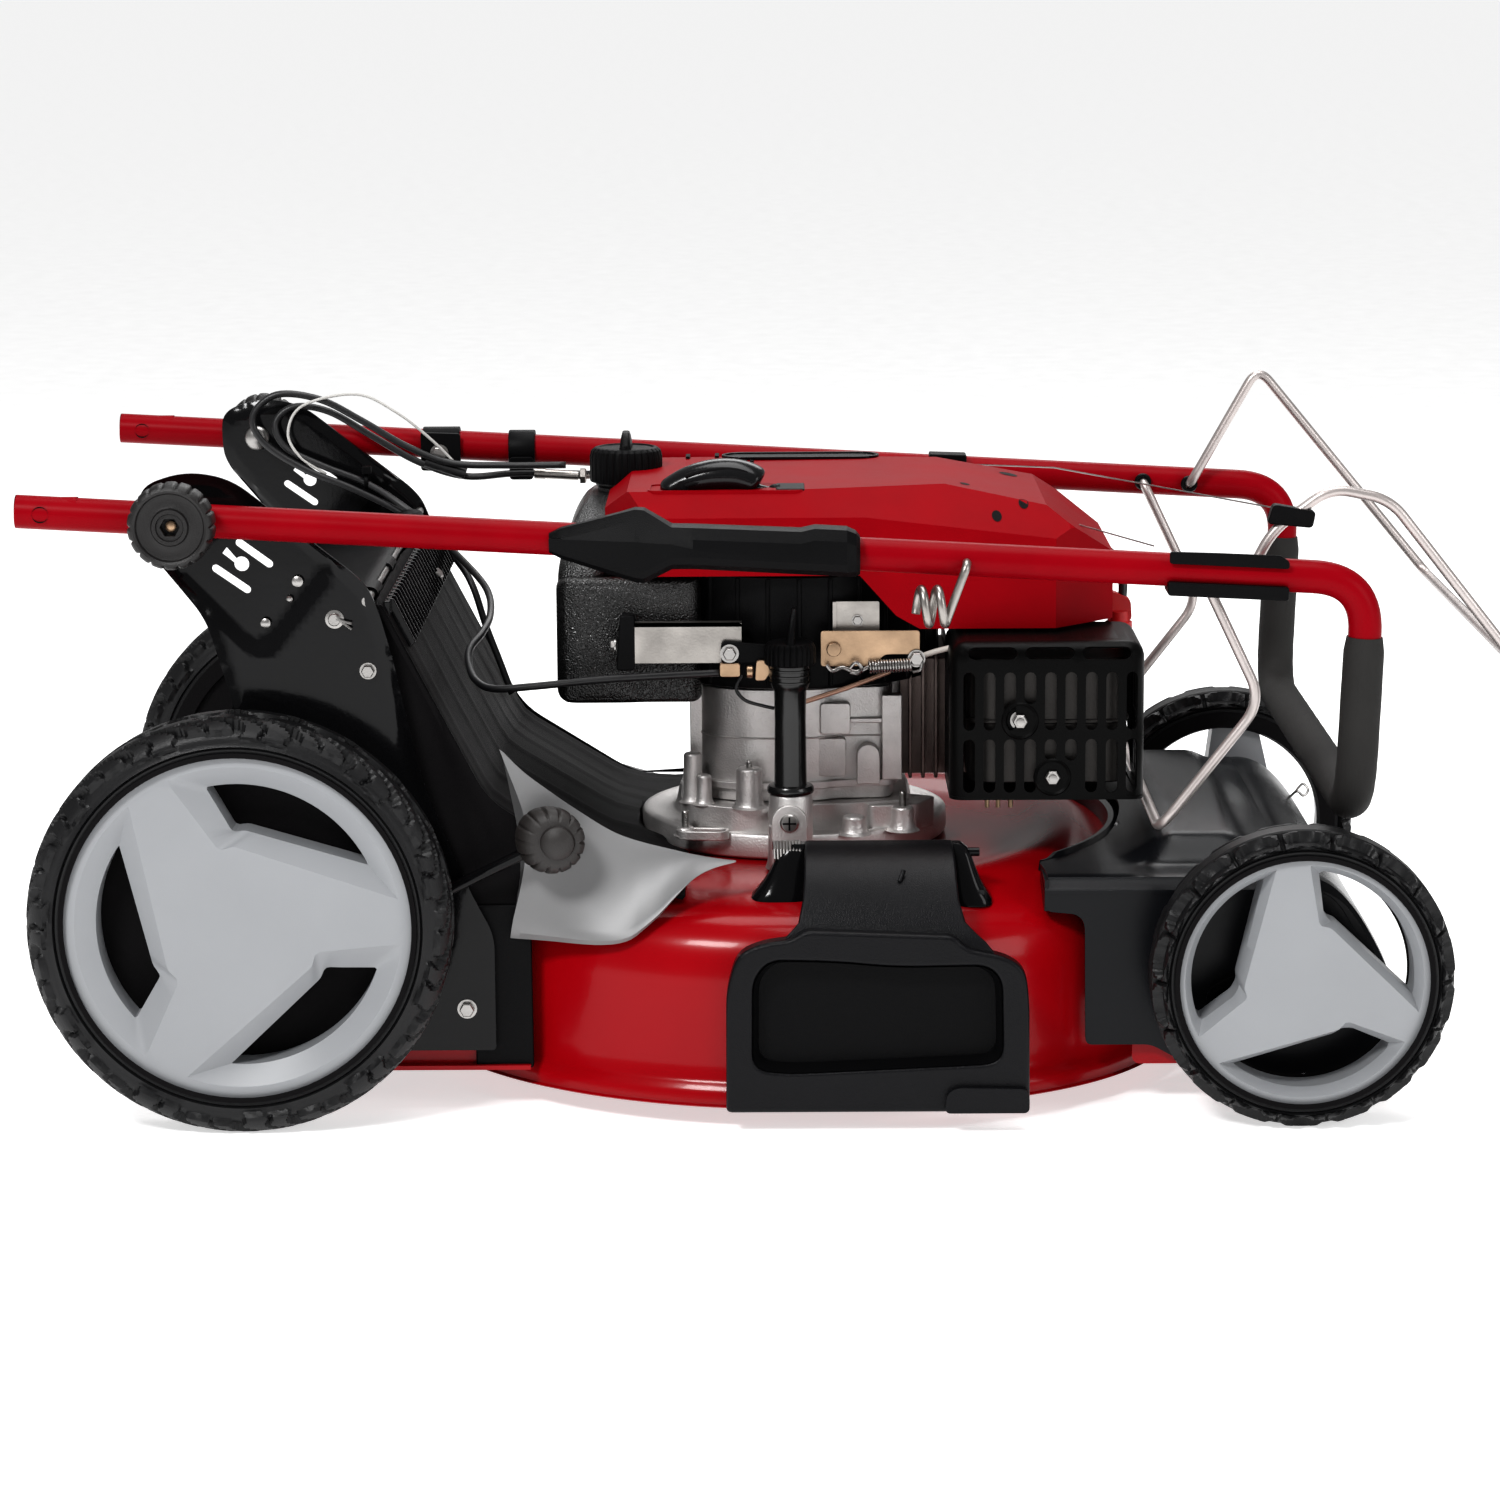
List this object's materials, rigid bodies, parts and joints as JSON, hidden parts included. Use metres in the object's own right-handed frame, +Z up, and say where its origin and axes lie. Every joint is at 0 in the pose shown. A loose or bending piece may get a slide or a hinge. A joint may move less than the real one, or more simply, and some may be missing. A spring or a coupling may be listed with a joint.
{
  "type": "lawn mower",
  "caption": "Walk-behind rotary lawn mower on four wheels: domed deck, upright-shaft engine, height lever, side and rear flaps, folding U-shaped handle with two wire bails",
  "frame": {"origin": "on the ground, at the centre of the bounding box's base", "axes": "+X is the mower's front, +Y its left side, +Z up; the handle is folded forward over the engine"},
  "size_m": [0.993, 0.562, 0.4505],
  "materials": {
    "red_paint": "gloss",
    "black_steel": "gloss",
    "black_plastic": "satin",
    "tank_plastic": "textured",
    "grey_plastic": "satin",
    "rim_plastic": "satin",
    "tyre": "matte",
    "foam": "matte",
    "cast_aluminium": "satin",
    "steel": "satin",
    "zinc_plate": "satin",
    "yellow_zinc": "satin",
    "red_rubber": "satin",
    "cable_sheath": "satin",
    "knob_plastic": "matte"
  },
  "bodies": {
    "chassis": {"deck_shell": "red_paint", "rear_hood": "black_plastic", "trim_panel_right": "grey_plastic", "trim_panel_left": "grey_plastic", "front_cowl": "black_plastic", "handle_bracket_right": "black_steel", "handle_bracket_left": "black_steel", "pivot_bolt_right": "steel", "pivot_bolt_left": "steel", "side_flap_hinge": "black_plastic", "gearbox": "cast_aluminium", "drive_belt": "cable_sheath", "engine_base": "cast_aluminium", "engine_block": "cast_aluminium", "cylinder_head": "cast_aluminium", "plug_boot": "red_rubber", "muffler": "steel", "muffler_guard": "black_steel", "blower_housing": "black_plastic", "engine_shroud": "red_paint", "fuel_tank": "tank_plastic", "dipstick_tube": "black_plastic", "carburettor": "cast_aluminium", "air_filter_housing": "black_plastic", "control_bracket": "zinc_plate", "brake_cable": "cable_sheath", "drive_cable": "cable_sheath"},
    "rear_axle_arms": {"rear_axle": "black_steel", "height_knob": "knob_plastic"},
    "front_axle_arms": {"front_axle": "black_steel"},
    "rear_right_wheel": {"rear_right_tyre": "tyre", "rear_right_rim": "rim_plastic"},
    "rear_left_wheel": {"rear_left_tyre": "tyre", "rear_left_rim": "rim_plastic"},
    "front_right_wheel": {"front_right_tyre": "tyre", "front_right_rim": "rim_plastic"},
    "front_left_wheel": {"front_left_tyre": "tyre", "front_left_rim": "rim_plastic"},
    "handle": {"handle_tube": "red_paint", "foam_grip": "foam", "handle_cover": "black_plastic", "rope_guide": "zinc_plate"},
    "knob_right_turning": {"knob_right": "black_plastic"},
    "knob_left_turning": {"knob_left": "black_plastic"},
    "brake_bail_bar": {"brake_bail": "steel"},
    "drive_bail_bar": {"drive_bail": "steel"},
    "side_flap_panel": {"side_flap": "black_plastic"},
    "rear_flap_panel": {"rear_flap": "black_plastic"},
    "starter": {"starter_grip": "black_plastic", "starter_rope": "foam"},
    "fuel_cap_turning": {"fuel_cap": "black_plastic"},
    "dipstick_gauge": {"dipstick": "black_plastic"},
    "rotor": {"crankshaft": "steel", "flywheel": "cast_aluminium", "engine_pulley": "steel", "blade_hub": "black_steel", "blade": "steel", "blade_bolt": "steel"},
    "gearbox_input": {"gearbox_pulley": "steel"},
    "brake_lever_plate": {"brake_lever": "yellow_zinc"}
  },
  "joints": [
    {"name": "handle_fold", "type": "hinge", "parent": "chassis", "child": "handle", "pos_m": [-0.39083, 0, 0.404], "axis": [0, -1, 0], "range_deg": [0, 153]},
    {"name": "rear_height", "type": "hinge", "parent": "chassis", "child": "rear_axle_arms", "pos_m": [-0.29883, 0, 0.115], "axis": [0, -1, 0], "range_deg": [0, 49]},
    {"name": "front_height", "type": "hinge", "parent": "chassis", "child": "front_axle_arms", "pos_m": [0.29817, 0, 0.075], "axis": [0, -1, 0], "range_deg": [-56.1, 0]},
    {"name": "rear_right_spin", "type": "hinge", "parent": "rear_axle_arms", "child": "rear_right_wheel", "pos_m": [-0.35383, -0.256, 0.14], "axis": [0, 1, 0], "continuous": true},
    {"name": "rear_left_spin", "type": "hinge", "parent": "rear_axle_arms", "child": "rear_left_wheel", "pos_m": [-0.35383, 0.256, 0.14], "axis": [0, 1, 0], "continuous": true},
    {"name": "front_right_spin", "type": "hinge", "parent": "front_axle_arms", "child": "front_right_wheel", "pos_m": [0.34517, -0.256, 0.1], "axis": [0, 1, 0], "continuous": true},
    {"name": "front_left_spin", "type": "hinge", "parent": "front_axle_arms", "child": "front_left_wheel", "pos_m": [0.34517, 0.256, 0.1], "axis": [0, 1, 0], "continuous": true},
    {"name": "knob_right_turn", "type": "hinge", "parent": "chassis", "child": "knob_right_turning", "pos_m": [-0.39083, -0.258, 0.404], "axis": [0, -1, 0], "continuous": true},
    {"name": "knob_left_turn", "type": "hinge", "parent": "chassis", "child": "knob_left_turning", "pos_m": [-0.39083, 0.258, 0.404], "axis": [0, 1, 0], "continuous": true},
    {"name": "brake_bail_close", "type": "hinge", "parent": "handle", "child": "brake_bail_bar", "pos_m": [0.27817, 0, 0.3662], "axis": [0, -1, 0], "range_deg": [0, 36], "stiffness_Nm_per_rad": 3, "springref_deg": -17.19},
    {"name": "drive_bail_close", "type": "hinge", "parent": "handle", "child": "drive_bail_bar", "pos_m": [0.31317, 0, 0.36422], "axis": [0, 1, 0], "range_deg": [0, 42], "stiffness_Nm_per_rad": 3, "springref_deg": -17.19},
    {"name": "side_flap_open", "type": "hinge", "parent": "chassis", "child": "side_flap_panel", "pos_m": [0.06717, -0.2, 0.172], "axis": [-1, 0, 0], "range_deg": [0, 85], "stiffness_Nm_per_rad": 0.6, "springref_deg": -17.19},
    {"name": "rear_flap_open", "type": "hinge", "parent": "chassis", "child": "rear_flap_panel", "pos_m": [-0.26983, 0, 0.347], "axis": [0, 1, 0], "range_deg": [0, 70]},
    {"name": "starter_pull", "type": "slide", "parent": "chassis", "child": "starter", "axis": [-0.64, 0, 0.7684], "range_m": [0, 0.5], "stiffness_N_per_m": 25, "springref_m": -0.6},
    {"name": "fuel_cap_turn", "type": "hinge", "parent": "chassis", "child": "fuel_cap_turning", "pos_m": [-0.10683, 0.045, 0.4], "axis": [0, 0, 1], "range_deg": [0, 120]},
    {"name": "dipstick_lift", "type": "slide", "parent": "chassis", "child": "dipstick_gauge", "axis": [0, 0, 1], "range_m": [0, 0.18]},
    {"name": "crankshaft_spin", "type": "hinge", "parent": "chassis", "child": "rotor", "pos_m": [0.01217, 0, 0.05], "axis": [0, 0, 1], "continuous": true},
    {"name": "gearbox_pulley_spin", "type": "hinge", "parent": "chassis", "child": "gearbox_input", "pos_m": [-0.25883, 0, 0.069], "axis": [0, 0, 1], "continuous": true},
    {"name": "brake_lever_turn", "type": "hinge", "parent": "chassis", "child": "brake_lever_plate", "pos_m": [0.03917, -0.11, 0.296], "axis": [0, 1, 0], "range_deg": [0, 18.1]}
  ],
  "couplings": [
    {"joint": "front_height", "follows": "rear_height", "ratio": -1.143},
    {"joint": "gearbox_pulley_spin", "follows": "crankshaft_spin", "ratio": 0.625},
    {"joint": "brake_lever_turn", "follows": "brake_bail_close", "ratio": 0.5}
  ]
}
